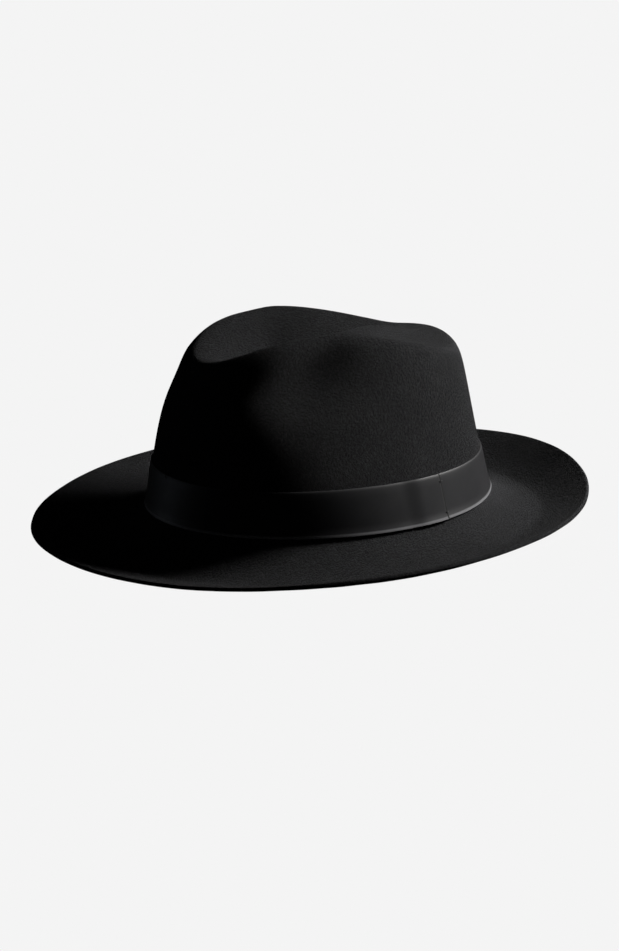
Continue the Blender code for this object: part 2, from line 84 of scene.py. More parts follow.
# Trimmings
BAND_BASE = 0.0012
BAND_TOP = 0.0263
BAND_OUTER_END = math.radians(70)
BAND_INNER_END = math.radians(78)
BAND_RAMP = math.radians(7)
SWEATBAND_BASE = 0.0010
SWEATBAND_TOP = 0.0350
REED_RADIUS = 0.0006
TAPE_THICKNESS = 0.0003
TAPE_TOP = 0.0060
PATCH_BASE = 0.0085
PATCH_HEIGHT = 0.0200
PATCH_THICKNESS = 0.0006
PATCH_HALF_WIDTH = 0.0070
BOW_HALF_LENGTH = 0.0120
BOW_HALF_DEPTH = 0.0011
BOW_HALF_HEIGHT = 0.0030
BOW_THICKNESS = 0.0004
KNOT_HALF_LENGTH = 0.0022
LABEL_ANGLE = math.radians(34)
LABEL_HALF_WIDTH = 0.0130
LABEL_BASE = 0.0130
LABEL_HEIGHT = 0.0110
LABEL_THICKNESS = 0.0003
THREAD_RADIUS = 0.00025
STITCH_HEIGHT = 0.0032
STITCH_SWING = 0.0007
STITCH_COUNT = 72
TACK_LENGTH = 0.0034
TACK_INSET = 0.0040
LINING_BASE = 0.0230
LINING_DROP = 0.0012
LINING_SAG = 0.0008
PIPING_RADIUS = 0.0007

# The felt's finish, and the unevenness that hand blocking leaves
NAP_SIZE = 0.0013
FIBRE_SIZE = 0.0007
MOTTLE_SIZE = 0.018
NAP_DEPTH = 0.0150
SLOW_UNEVENNESS = 0.0006
QUICK_UNEVENNESS = 0.00014
WALL_UNEVENNESS_SHARE = 0.15
UNEVENNESS_SEED = 1

# The ribbon's woven edges, painted paler as a highlight, and its turned-in end at the lap, painted dark as
# shade
TOP_SELVEDGE_HIGHLIGHT = (0.0010, 0.0004)
LOW_SELVEDGE_HIGHLIGHT = (0.0019, 0.0010)
LAP_SHADE_WIDTH = (0.0016, 0.0008)

# How finely the pieces are made
STATIONS = 288
DENT_RINGS = 32
WALL_RINGS = 64
BRIM_RINGS = 38
WALL_SAMPLES = 240
MERGE_DISTANCE = 0.00001


# ---- The block: the same surfaces that the solids are pressed to

@lru_cache(maxsize=None)
def around(angle, values):
    """Smooth value at an angle from the back, through values spaced evenly from back to front."""
    last = len(values) - 1
    total = 0.0
    for wave in range(last + 1):
        weight = 0.0
        for place, value in enumerate(values):
            end_share = 0.5 if place in (0, last) else 1.0
            weight += end_share * value * math.cos(math.pi * place * wave / last)
        wave_share = 0.5 if wave in (0, last) else 1.0
        total += wave_share * weight * 2 / last * math.cos(wave * angle)
    return total


@lru_cache(maxsize=None)
def break_point(angle):
    """Where the crown's outer face meets the brim."""
    height = BREAK_HEIGHT + around(angle, BREAK_DIP)
    along = FELT_HALF_LENGTH * math.cos(angle) + CROWN_SHIFT
    return Vector((FELT_HALF_WIDTH * math.sin(angle), along, height))


@lru_cache(maxsize=None)
def ridge_point(angle):
    """The ridge round the centre dent."""
    height = BREAK_HEIGHT + CROWN_HEIGHT - around(angle, RIDGE_DROP)
    across = around(angle, RIDGE_HALF_WIDTH) * math.sin(angle)
    return Vector((across, around(angle, RIDGE_ALONG), height))


def side_angle(angle):
    turned = angle % (2 * math.pi)
    return min(turned, 2 * math.pi - turned)


def wall_point(angle, share):
    """A point on the crown's wall, from the ridge at share 0 to the break at share 1."""
    top = ridge_point(angle)
    foot = break_point(angle)
    outward = Vector((foot.x - top.x, foot.y - top.y, 0.0)).normalized()
    square_out = Vector((math.sin(angle) / FELT_HALF_WIDTH, math.cos(angle) / FELT_HALF_LENGTH, 0.0))
    square_out.normalize()
    reach = around(angle, SHOULDER_REACH)
    fall = around(angle, WALL_FULLNESS) * (top.z - foot.z)
    start = outward * reach + Vector((0.0, 0.0, around(angle, SHOULDER_SLOPE) * reach))
    finish = square_out * (around(angle, WALL_LEAN) * fall) - Vector((0.0, 0.0, fall))
    square, cube = share * share, share ** 3
    point = top * (2 * cube - 3 * square + 1) + start * (cube - 2 * square + share)
    point += foot * (3 * square - 2 * cube) + finish * (cube - square)
    near = math.exp(-((side_angle(angle) - HOLLOW_ANGLE) / HOLLOW_SPREAD) ** 2)
    level = math.exp(-((share - HOLLOW_SHARE) / HOLLOW_SHARE_SPREAD) ** 2)
    return point - outward * (HOLLOW_DEPTH * near * level)


@lru_cache(maxsize=None)
def wall_curve(angle):
    """The wall at one angle: its points from the ridge down, and the length down to each."""
    points = [wall_point(angle, place / WALL_SAMPLES) for place in range(WALL_SAMPLES + 1)]
    lengths = [0.0]
    for upper, lower in zip(points, points[1:]):
        lengths.append(lengths[-1] + (lower - upper).length)
    return points, lengths


@lru_cache(maxsize=None)
def wall_at_height(angle, height):
    """The wall's outer face at a height above the break. Below the break it runs on straight."""
    points = wall_curve(angle)[0]
    level = points[-1].z + height
    for upper, lower in zip(points[-2::-1], points[:0:-1]):
        if upper.z >= level:
            return lower.lerp(upper, (level - lower.z) / (upper.z - lower.z))
    return points[0]


@lru_cache(maxsize=None)
def wall_normal(angle, height):
    spread = 0.02
    along = wall_at_height(angle + spread, height) - wall_at_height(angle - spread, height)
    upward = wall_at_height(angle, height + 0.002) - wall_at_height(angle, height)
    return upward.cross(along).normalized()


def crown_at(angle, height, inset):
    """A point at a height above the break, and a distance in from the crown's outer face."""
    return wall_at_height(angle, height) - wall_normal(angle, height) * inset


def crown_frame(angle, height, inset):
    """Axes at a point inside the crown: X along the wall, Y in from it and Z up it."""
    inward = -wall_normal(angle, height)
    upward = (wall_at_height(angle, height + 0.002) - wall_at_height(angle, height)).normalized()
    axes = Matrix((inward.cross(upward), inward, upward)).transposed().to_4x4()
    return Matrix.Translation(crown_at(angle, height, inset)) @ axes


def dent_floor(along):
    front, back = ridge_point(math.pi), ridge_point(0.0)
    share = min(max((along - front.y) / (back.y - front.y), 0.0), 1.0)
    rise, fade = 0.9, 2.0
    deepest = rise / (rise + fade)
    peak = deepest ** rise * (1 - deepest) ** fade
    depth = DENT_DEPTH * share ** rise * (1 - share) ** fade / peak
    return front.z + (back.z - front.z) * share - depth


def dent_point(angle, share):
    ridge = ridge_point(angle)
    along = DENT_CENTRE + (ridge.y - DENT_CENTRE) * share
    floor = dent_floor(along)
    climb = 1 - (1 - share ** DENT_STEEPNESS) ** DENT_ROUNDING
    return Vector((ridge.x * share, along, floor + (ridge.z - floor) * climb))


def brim_point(angle, share):
    foot = break_point(angle)
    edge = Vector((BRIM_HALF_WIDTH * math.sin(angle), BRIM_HALF_LENGTH * math.cos(angle), 0.0))
    fall = 1 - (1 - min(share / TROUGH_SHARE, 1.0)) ** 2
    curl = max((share - TROUGH_SHARE) / (1 - TROUGH_SHARE), 0.0) ** CURL_POWER
    point = foot.lerp(edge, share)
    point.z = foot.z + (FELT_THICKNESS - foot.z) * fall + around(angle, BRIM_CURL) * curl
    return point


@lru_cache(maxsize=None)
def lining_top():
    """Height above the mean break of the lining's top edge, just under the dent's floor."""
    front, back = ridge_point(math.pi).y, ridge_point(0.0).y
    lowest = min(dent_floor(front + (back - front) * place / 40) for place in range(41))
    return lowest - FELT_THICKNESS - LINING_DROP - BREAK_HEIGHT


def lining_height(angle, share):
    top = lining_top() - around(angle, BREAK_DIP)
    return LINING_BASE + (top - LINING_BASE) * share


def wall_by_length(angle, share):
    points, lengths = wall_curve(angle)
    target = share * lengths[-1]
    for place in range(1, len(points)):
        if lengths[place] >= target:
            step = lengths[place] - lengths[place - 1]
            return points[place - 1].lerp(points[place], (target - lengths[place - 1]) / step)
    return points[-1]


def felt_point(angle, ring):
    """A point of the felt's outer face on one of its rings, from the dent's centre to the edge."""
    if ring < DENT_RINGS:
        return dent_point(angle, (ring / DENT_RINGS) ** 0.85)
    ring -= DENT_RINGS
    if ring < WALL_RINGS:
        return wall_by_length(angle, ring / WALL_RINGS)
    return brim_point(angle, (ring - WALL_RINGS) / BRIM_RINGS)


# ---- Modelling helpers

def deselect_all():
    bpy.ops.object.select_all(action="DESELECT")


def edit(item):
    """Goes into edit mode on one object, with nothing selected."""
    deselect_all()
    item.select_set(True)
    bpy.context.view_layer.objects.active = item
    bpy.ops.object.mode_set(mode="EDIT")
    bpy.ops.mesh.select_all(action="DESELECT")


def leave_edit():
    bpy.ops.object.mode_set(mode="OBJECT")


def pick_vertices(item, test):
    """Selects the vertices of the edited object that pass a test on their place."""
    bpy.ops.mesh.select_mode(type="VERT")
    shape = bmesh.from_edit_mesh(item.data)
    for vertex in shape.verts:
        vertex.select_set(test(vertex.co))
    shape.select_flush_mode()
    bmesh.update_edit_mesh(item.data)


def apply_modifier(item, kind, **settings):
    deselect_all()
    item.select_set(True)
    bpy.context.view_layer.objects.active = item
    modifier = item.modifiers.new(kind.lower(), kind)
    for name, value in settings.items():
        setattr(modifier, name, value)
    bpy.ops.object.modifier_apply(modifier=modifier.name)


def thicken(item, thickness, outward):
    """Gives a sheet its thickness behind its face, or in front of it."""
    apply_modifier(item, "SOLIDIFY", thickness=thickness, offset=1.0 if outward else -1.0,
                   use_even_offset=False)


def round_edges(item, width, segments):
    apply_modifier(item, "BEVEL", width=width, segments=segments, limit_method="ANGLE",
                   angle_limit=math.radians(50), use_clamp_overlap=True)


def settle(item, finish, slot, *nodes):
    """Smooths a finished piece, gives it its finish, and puts it on the hat for its solids."""
    deselect_all()
    item.select_set(True)
    bpy.context.view_layer.objects.active = item
    bpy.ops.object.shade_smooth_by_angle(angle=math.radians(35))
    if not item.data.materials:
        item.data.materials.append(finish)
    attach(item, "root")
    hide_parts(*nodes)
    return item


def faces_out(item):
    edit(item)
    bpy.ops.mesh.select_all(action="SELECT")
    bpy.ops.mesh.normals_make_consistent(inside=False)
    leave_edit()


def write_uv(item, uv_of):
    """A UV map in metres along and across a strip, from each vertex's number."""
    layer = item.data.uv_layers.active or item.data.uv_layers.new(name="strip")
    for loop in item.data.loops:
        layer.data[loop.index].uv = uv_of(loop.vertex_index)


def laid_strip(name, angles, rows, place):
    """A grid laid as a strip, with a UV map of its length and width in metres."""
    deselect_all()
    bpy.ops.mesh.primitive_grid_add(x_subdivisions=len(angles) - 1, y_subdivisions=len(rows) - 1,
                                    size=1)
    item = bpy.context.active_object
    item.name = name
    lengths = [0.0]
    middle = rows[len(rows) // 2]
    for first, second in zip(angles, angles[1:]):
        lengths.append(lengths[-1] + (place(second, middle) - place(first, middle)).length)
    ids = []
    for vertex in item.data.vertices:
        column = round((vertex.co.x + 0.5) * (len(angles) - 1))
        row = round((vertex.co.y + 0.5) * (len(rows) - 1))
        ids.append((lengths[column], rows[row]))
        vertex.co = place(angles[column], rows[row])
    write_uv(item, lambda number: ids[number])
    return item


def merge_seams(item):
    edit(item)
    bpy.ops.mesh.select_all(action="SELECT")
    bpy.ops.mesh.remove_doubles(threshold=MERGE_DISTANCE)
    bpy.ops.mesh.normals_make_consistent(inside=False)
    leave_edit()


def thread(name, points, radius, closed, sides=2):
    """A round thread or wire through the given points."""
    curve = bpy.data.curves.new(name, "CURVE")
    curve.dimensions = "3D"
    curve.bevel_depth = radius
    curve.bevel_resolution = sides
    curve.use_fill_caps = not closed
    spline = curve.splines.new("POLY")
    spline.points.add(len(points) - 1)
    for target, point in zip(spline.points, points):
        target.co = (*point, 1.0)
    spline.use_cyclic_u = closed
    item = bpy.data.objects.new(name, curve)
    bpy.context.scene.collection.objects.link(item)
    deselect_all()
    item.select_set(True)
    bpy.context.view_layer.objects.active = item
    bpy.ops.object.convert(target="MESH")
    item = bpy.context.active_object
    merge_seams(item)
    return item


def even(start, end, count):
    return [start + (end - start) * step / count for step in range(count + 1)]


# ---- Finishes

class Wire:
    """A node's output that can be used in sums."""

    def __init__(self, board, socket):
        self.board = board
        self.socket = socket

    def sum(self, operation, first, second):
        return self.board.node("ShaderNodeMath", {"operation": operation}, {0: first, 1: second})

    def __add__(self, other):
        return self.sum("ADD", self, other)

    def __radd__(self, other):
        return self.sum("ADD", other, self)

    def __mul__(self, other):
        return self.sum("MULTIPLY", self, other)

    def __rmul__(self, other):
        return self.sum("MULTIPLY", other, self)


class Finish:
    """A material whose nodes are added one at a time."""

    def __init__(self, name, **constants):
        self.material = bpy.data.materials.new(name)
        self.material.use_nodes = True
        self.tree = self.material.node_tree
        self.shader = self.tree.nodes["Principled BSDF"]
        for socket, value in constants.items():
            self.shader.inputs[socket.replace("_", " ")].default_value = value

    def node(self, kind, settings, sockets, output=0):
        made = self.tree.nodes.new(kind)
        for name, value in settings.items():
            setattr(made, name, value)
        for socket, value in sockets.items():
            if isinstance(value, Wire):
                self.tree.links.new(value.socket, made.inputs[socket])
            else:
                made.inputs[socket].default_value = value
        return Wire(self, made.outputs[output])

    def place(self):
        return self.node("ShaderNodeTexCoord", {}, {}, "Object")

    def strip_uv(self):
        return self.node("ShaderNodeUVMap", {}, {})

    def parts(self, vector):
        split = self.node("ShaderNodeSeparateXYZ", {}, {0: vector})
        return [Wire(self, output) for output in split.socket.node.outputs]

    def grain(self, vector, size, detail=2.0, rough=0.5):
        """Noise whose grains are about a size across, in metres."""
        return self.node("ShaderNodeTexNoise", {}, {
            "Vector": vector, "Scale": 1 / size, "Detail": detail, "Roughness": rough})

    def wave(self, value, pitch):
        """A smooth wave from 0 to 1 along a value in metres."""
        turned = value * (2 * math.pi / pitch)
        return self.node("ShaderNodeMath", {"operation": "SINE"}, {0: turned}) * 0.5 + 0.5

    def step(self, value, low, high, to_low=0.0, to_high=1.0):
        return self.node("ShaderNodeMapRange", {"interpolation_type": "SMOOTHSTEP"}, {
            "Value": value, "From Min": low, "From Max": high, "To Min": to_low, "To Max": to_high})

    def blend(self, factor, first, second):
        return self.node("ShaderNodeMix", {"data_type": "RGBA"}, {
            "Factor": factor, 6: (*first, 1.0) if isinstance(first, tuple) else first,
            7: (*second, 1.0) if isinstance(second, tuple) else second}, 2)

    def bump(self, height, depth):
        return self.node("ShaderNodeBump", {}, {"Height": height, "Distance": depth})

    def feed(self, socket, wire):
        self.tree.links.new(wire.socket, self.shader.inputs[socket])


def felt_finish():
    """Black wool felt: a short nap, fine mottling, and a painted highlight on the raised grain."""
    felt = Finish("black_wool_felt", Sheen_Weight=0.18, Sheen_Roughness=0.45,
                  Sheen_Tint=(0.55, 0.56, 0.60, 1.0), Specular_IOR_Level=0.22)
    place = felt.place()
    nap = felt.grain(place, NAP_SIZE, 4.0, 0.70)
    fibre = felt.grain(place, FIBRE_SIZE, 3.0, 0.65)
    cloud = felt.grain(place, MOTTLE_SIZE, 3.0, 0.55)
    grain = nap * 0.6 + fibre * 0.4
    # Painted highlight: the felt is painted paler where its grain is raised, as if the fibre tips caught
    # the light. This also gives the grain an uneven tone.
    raised_grain_highlight = felt.step(grain, 0.44, 0.62)
    colour = felt.blend(raised_grain_highlight, (0.0040, 0.0040, 0.0045), (0.040, 0.040, 0.0420))
    colour = felt.blend(felt.step(cloud, 0.3, 0.7, 0.0, 0.25), colour, (0.012, 0.012, 0.0135))
    felt.feed("Base Color", colour)
    felt.feed("Roughness", felt.step(cloud, 0.3, 0.7, 0.86, 0.96))
    felt.feed("Normal", felt.bump(grain, NAP_DEPTH))
    return felt.material


def ribbon_finish(length):
    """Fine ribbed ribbon with a soft shine, woven edges painted paler as a highlight, and painted shade at
    its turned-in end at the lap.
    """
    ribbon = Finish("black_ribbon", Specular_IOR_Level=0.42, Sheen_Weight=0.1)
    along, up, _ = ribbon.parts(ribbon.strip_uv())
    rib = ribbon.wave(along, 0.0007)
    weft = ribbon.wave(up, 0.00045)
    cloud = ribbon.grain(ribbon.place(), 0.012, 2.0)
    # Painted highlight: a strip along each woven edge is painted much paler, the lower edge most, as where
    # the edges catch the light.
    top_edge_highlight = ribbon.step(up, BAND_TOP - TOP_SELVEDGE_HIGHLIGHT[0], BAND_TOP - TOP_SELVEDGE_HIGHLIGHT[1])
    low_edge_highlight = ribbon.step(up, BAND_BASE + LOW_SELVEDGE_HIGHLIGHT[0], BAND_BASE + LOW_SELVEDGE_HIGHLIGHT[1])
    # Painted shade: the last 1.6 mm of the ribbon before the lap's end is painted near black, as the shade
    # in the crease there.
    lap_shade = ribbon.step(along, length - LAP_SHADE_WIDTH[0], length - LAP_SHADE_WIDTH[1])
    colour = ribbon.blend(rib, (0.011, 0.011, 0.013), (0.013, 0.013, 0.0155))
    colour = ribbon.blend(top_edge_highlight * (0.3 + 0.5 * rib), colour, (0.060, 0.060, 0.064))
    colour = ribbon.blend(low_edge_highlight * (0.5 + 0.5 * rib), colour, (0.300, 0.300, 0.315))
    colour = ribbon.blend(lap_shade, colour, (0.002, 0.002, 0.002))
    ribbon.feed("Base Color", colour)
    ribbon.feed("Roughness", ribbon.step(cloud, 0.35, 0.65, 0.46, 0.49) + lap_shade * 0.5)
    ribbon.feed("Normal", ribbon.bump(rib * 0.8 + weft * 0.2, 0.000012))
    return ribbon.material


def leather_finish(name, dark, light):
    leather = Finish(name, Specular_IOR_Level=0.45)
    place = leather.place()
    cells = leather.node("ShaderNodeTexVoronoi", {"feature": "DISTANCE_TO_EDGE"}, {
        "Vector": place, "Scale": 900.0})
    pores = leather.grain(place, 0.0005, 2.0)
    cloud = leather.grain(place, 0.02, 3.0)
    colour = leather.blend(cloud, dark, light)
    # Painted shade: the leather's colour is darkened in the creases between its grain's cells, and the
    # same mask sinks those creases in the bump.
    crease_shade_mask = leather.step(cells, 0.0, 0.12)
    colour = leather.blend(crease_shade_mask, tuple(0.6 * part for part in dark), colour)
    leather.feed("Base Color", colour)
    leather.feed("Roughness", leather.step(cloud, 0.3, 0.7, 0.40, 0.58))
    leather.feed("Normal", leather.bump(crease_shade_mask * 0.7 + pores * 0.3, 0.00012))
    return leather.material


def satin_finish(name, dark, light):
    satin = Finish(name, Sheen_Weight=0.3, Anisotropic=0.5, Specular_IOR_Level=0.5)
    place = satin.place()
    across, along, up = satin.parts(place)
    weft = satin.wave(up + 0.3 * across, 0.0005)
    warp = satin.wave(across + along, 0.0004)
    cloud = satin.grain(place, 0.015, 3.0)
    satin.feed("Base Color", satin.blend(cloud, dark, light))
    satin.feed("Roughness", satin.step(cloud, 0.3, 0.7, 0.26, 0.38))
    satin.feed("Normal", satin.bump(weft * 0.5 + warp * 0.5, 0.00003))
    return satin.material


def thread_finish(name, dark, light):
    yarn = Finish(name, Sheen_Weight=0.2)
    place = yarn.place()
    fuzz = yarn.grain(place, 0.0003, 3.0)
    yarn.feed("Base Color", yarn.blend(fuzz, dark, light))
    yarn.feed("Roughness", yarn.step(fuzz, 0.3, 0.7, 0.55, 0.8))
    yarn.feed("Normal", yarn.bump(fuzz, 0.00008))
    return yarn.material


def tape_finish(name, dark, light):
    tape = Finish(name, Sheen_Weight=0.15)
    place = tape.place()
    across, along, up = tape.parts(place)
    weave = tape.wave(up, 0.0006) * tape.wave(across + along, 0.0006)
    tape.feed("Base Color", tape.blend(weave, dark, light))
    tape.feed("Roughness", tape.step(weave, 0.0, 1.0, 0.6, 0.75))
    tape.feed("Normal", tape.bump(weave, 0.00008))
    return tape.material


# ---- The hat's pieces

def felt_disc(pitch, rings):
    """A flat round disc with evenly spaced rings of edges."""
    deselect_all()
    bpy.ops.mesh.primitive_circle_add(vertices=STATIONS, radius=pitch, fill_type="TRIFAN")
    item = bpy.context.active_object
    item.name = "felt_hat_body"
    edit(item)
    pick_vertices(item, lambda spot: spot.length > 0.5 * pitch)
    for ring in range(1, rings):
        bpy.ops.mesh.extrude_edges_move()
        grow = (ring + 1) / ring
        bpy.ops.transform.resize(value=(grow, grow, 1.0))
    leave_edit()
    return item


def smooth_rings(item, rings, first, last, repeat):
    """Smooths the felt between two rings."""
    edit(item)
    bpy.ops.mesh.select_mode(type="VERT")
    shape = bmesh.from_edit_mesh(item.data)
    shape.verts.ensure_lookup_table()
    for number, ring in enumerate(rings):
        shape.verts[number].select_set(first <= ring <= last)
    shape.select_flush_mode()
    bmesh.update_edit_mesh(item.data)
    bpy.ops.mesh.vertices_smooth(factor=0.5, repeat=repeat)
    leave_edit()


def felt_body():
    """The felt starts as a flat disc, is pressed over the block, and is eased where it creases."""
    pitch = 0.01
    last_ring = DENT_RINGS + WALL_RINGS + BRIM_RINGS
    item = felt_disc(pitch, last_ring)
    rings = []
    for vertex in item.data.vertices:
        ring = round(vertex.co.length / pitch)
        station = round(math.atan2(vertex.co.x, vertex.co.y) / (2 * math.pi) * STATIONS) % STATIONS
        rings.append(ring)
        vertex.co = felt_point(2 * math.pi * station / STATIONS, ring)
    smooth_rings(item, rings, DENT_RINGS - 7, DENT_RINGS + 5, 7)
    break_ring = DENT_RINGS + WALL_RINGS
    smooth_rings(item, rings, break_ring - 1, break_ring + 3, 3)
    for vertex, ring in zip(item.data.vertices, rings):
        vertex.co += hand_shaping(vertex.co, ring - break_ring)
    if item.data.polygons[-1].normal.z < 0:
        item.data.flip_normals()
    thicken(item, FELT_THICKNESS, False)
    round_edges(item, 0.0005, 3)
    settle(item, felt_finish(), "black_felt", "felt_body")
    return item


def hand_shaping(spot, rings_out):
    """The slight unevenness that hand blocking leaves, except where the trimmings lie on the felt."""
    if rings_out > 0:
        amount = min(max((rings_out - 5) / 12, 0.0), 1.0)
    else:
        amount = WALL_UNEVENNESS_SHARE * min(max((spot.z - 0.05) / 0.02, 0.0), 1.0)
    slow = noise.noise_vector(spot * 14.0) * SLOW_UNEVENNESS
    quick = noise.noise_vector(spot * 60.0 + Vector((3.0, 1.0, 2.0))) * QUICK_UNEVENNESS
    return (slow + quick) * amount


def hatband():
    """One ribbon round the crown, whose outer end laps over its inner end."""
    start = -BAND_INNER_END
    end = 2 * math.pi - BAND_OUTER_END
    climb_end = 2 * math.pi - BAND_INNER_END - math.radians(1)
    climb_start = climb_end - BAND_RAMP
    ply = RIBBON_THICKNESS + FIT_GAP

    def place(turn, height):
        climb = min(max((turn - climb_start) / (climb_end - climb_start), 0.0), 1.0)
        climb = climb * climb * (3 - 2 * climb)
        flare = 0.0007 * math.exp(-((height - BAND_BASE) / 0.0022) ** 2)
        tuck = 0.00025 * math.exp(-((height - BAND_TOP) / 0.002) ** 2)
        outset = FIT_GAP + 0.0001 + RIBBON_THICKNESS + ply * climb + flare - tuck
        return crown_at(-turn, height, -outset)

    turns = even(start, end, 300)
    item = laid_strip("ribbon_hatband", turns, even(BAND_BASE, BAND_TOP, 14), place)
    outward = item.data.polygons[0].normal.dot(wall_normal(-start, 0.01)) > 0
    thicken(item, RIBBON_THICKNESS, not outward)
    faces_out(item)
    round_edges(item, 0.00025, 2)
    middle = 0.5 * (BAND_BASE + BAND_TOP)
    length = sum((place(second, middle) - place(first, middle)).length
                 for first, second in zip(turns, turns[1:]))
    settle(item, ribbon_finish(length), "hatband_ribbon", "hatband")
    return item


def sweatband():
    """A leather strip inside the crown whose ends meet at the back."""
    half_seam = 0.0006 / HEAD_HALF_WIDTH

    def place(angle, height):
        roll = 0.0008 * math.exp(-((SWEATBAND_TOP - height) / 0.003) ** 2)
        crease = 0.00022 * math.exp(-((height - SWEATBAND_TOP + 0.0045) / 0.0007) ** 2)
        return crown_at(angle, height, SWEATBAND_FACE + roll - crease)

    rows = even(SWEATBAND_BASE, SWEATBAND_TOP - 0.007, 12)
    rows += even(SWEATBAND_TOP - 0.0065, SWEATBAND_TOP, 16)
    angles = even(half_seam, 2 * math.pi - half_seam, 280)
    item = laid_strip("leather_sweatband", angles, rows, place)
    inward = item.data.polygons[0].normal.dot(wall_normal(half_seam, 0.01)) < 0
    thicken(item, LEATHER_THICKNESS, not inward)
    faces_out(item)
    round_edges(item, 0.00025, 2)
    leather = leather_finish("brown_leather", (0.022, 0.013, 0.008), (0.050, 0.030, 0.018))
    return settle(item, leather, "sweatband_leather", "sweatband")


def sweatband_edge():
    """Inset and height of the reed's middle, under the sweatband's lower edge."""
    return SWEATBAND_INSET + 0.5 * LEATHER_THICKNESS, SWEATBAND_BASE - FIT_GAP - REED_RADIUS


def sweatband_reed():
    inset, height = sweatband_edge()
    points = [crown_at(angle, height, inset) for angle in even(0.0, 2 * math.pi, 180)[:-1]]
    item = thread("plastic_reed", points, REED_RADIUS, True, 4)
    reed = Finish("natural_plastic", Specular_IOR_Level=0.5)
    cloud = reed.grain(reed.place(), 0.006, 2.0)
    reed.feed("Base Color", reed.blend(cloud, (0.50, 0.48, 0.42), (0.66, 0.64, 0.57)))
    reed.feed("Roughness", reed.step(cloud, 0.3, 0.7, 0.35, 0.5))
    return settle(item, reed.material, "reed_plastic", "sweatband_reed")


def reed_tape():
    """A tape folded round the reed and the sweatband's lower edge."""
    inset, height = sweatband_edge()
    round_radius = REED_RADIUS + FIT_GAP + 0.5 * TAPE_THICKNESS
    section = [(inset - round_radius, level) for level in even(TAPE_TOP, height, 5)[:-1]]
    for turn in even(math.pi, 2 * math.pi, 8):
        section.append((inset + round_radius * math.cos(turn), height + round_radius * math.sin(turn)))
    section += [(inset + round_radius, level) for level in even(height, TAPE_TOP, 5)[1:]]

    def place(angle, row):
        depth, level = section[row]
        return crown_at(angle, level, depth)

    item = laid_strip("woven_reed_tape", even(0.0, 2 * math.pi, 180), list(range(len(section))), place)
    merge_seams(item)
    apply_modifier(item, "SOLIDIFY", thickness=TAPE_THICKNESS, offset=0.0)
    settle(item, tape_finish("woven_tape", (0.012, 0.011, 0.011), (0.030, 0.027, 0.027)),
           "reed_tape", "reed_tape")
    return item


def sweatband_stitching():
    """The zigzag thread that sews the tape to the sweatband, each stitch sunk at its ends."""
    surface = sweatband_edge()[0] + REED_RADIUS + 2 * FIT_GAP + TAPE_THICKNESS + THREAD_RADIUS
    points = []
    steps = 3
    for stitch in range(2 * STITCH_COUNT * steps):
        part = (stitch % steps) / steps
        side = 1 if (stitch // steps) % 2 else -1
        swing = STITCH_SWING * side * (1 - 2 * part)
        lift = 0.00012 * math.sin(math.pi * part)
        angle = math.pi * stitch / (STITCH_COUNT * steps)
        points.append(crown_at(angle, STITCH_HEIGHT + swing, surface + lift))
    item = thread("zigzag_stitching", points, 0.0002, True, 1)
    return settle(item, thread_finish("brown_thread", (0.060, 0.045, 0.032), (0.14, 0.11, 0.08)),
                  "sweatband_thread", "sweatband_stitching")


def rounded_limit(level, half_width, half_height, corner):
    """Half the width of a shape with round corners, at a level from its middle."""
    over = abs(level) - (half_height - corner)
    if over <= 0:
        return half_width
    return half_width - corner + math.sqrt(max(corner * corner - over * over, 0.0))


def small_panel(name, angle, base, half_width, height, inset, thickness, corner):
    """A small panel with round corners laid on the sweatband's face."""
    half_turn = half_width / HEAD_HALF_LENGTH

    def place(across, level):
        limit = rounded_limit(level, half_width, 0.5 * height, corner) / half_width
        return crown_at(angle + across * limit * half_turn, base + 0.5 * height + level, inset + thickness)

    half = 0.5 * height - 0.00001
    levels = [-half + corner * (1 - math.cos(turn)) for turn in even(0.0, math.pi / 2, 6)]
    levels += even(-half + corner, half - corner, 8)[1:-1]
    levels += [-level for level in reversed(levels[:7])]
    item = laid_strip(name, even(-1.0, 1.0, 20), levels, place)
    inward = item.data.polygons[0].normal.dot(wall_normal(angle, base)) < 0
    thicken(item, thickness, not inward)
    faces_out(item)
    return item


def rear_patch():
    """A small leather patch over the sweatband's seam."""
    item = small_panel("leather_patch", 0.0, PATCH_BASE, PATCH_HALF_WIDTH, PATCH_HEIGHT,
                       SWEATBAND_FACE + FIT_GAP, PATCH_THICKNESS, 0.0018)
    round_edges(item, 0.00015, 2)
    leather = leather_finish("brown_patch_leather", (0.020, 0.012, 0.0075), (0.044, 0.027, 0.016))
    return settle(item, leather, "patch_leather", "sweatband_rear_patch")


def ribbon_loop(name, outline, half_height, place, turn):
    """A ribbon bent into a closed loop. The outline lies in X and Y, and the ribbon's width is Z."""
    deselect_all()
    columns = len(outline)
    bpy.ops.mesh.primitive_grid_add(x_subdivisions=columns, y_subdivisions=6, size=1)
    item = bpy.context.active_object
    item.name = name
    for vertex in item.data.vertices:
        column = round((vertex.co.x + 0.5) * columns) % columns
        x, y = outline[column]
        spot = Vector((x, y, 2 * vertex.co.y * half_height(x)))
        vertex.co = place @ turn @ spot
    merge_seams(item)
    apply_modifier(item, "SOLIDIFY", thickness=BOW_THICKNESS, offset=0.0)
    return item


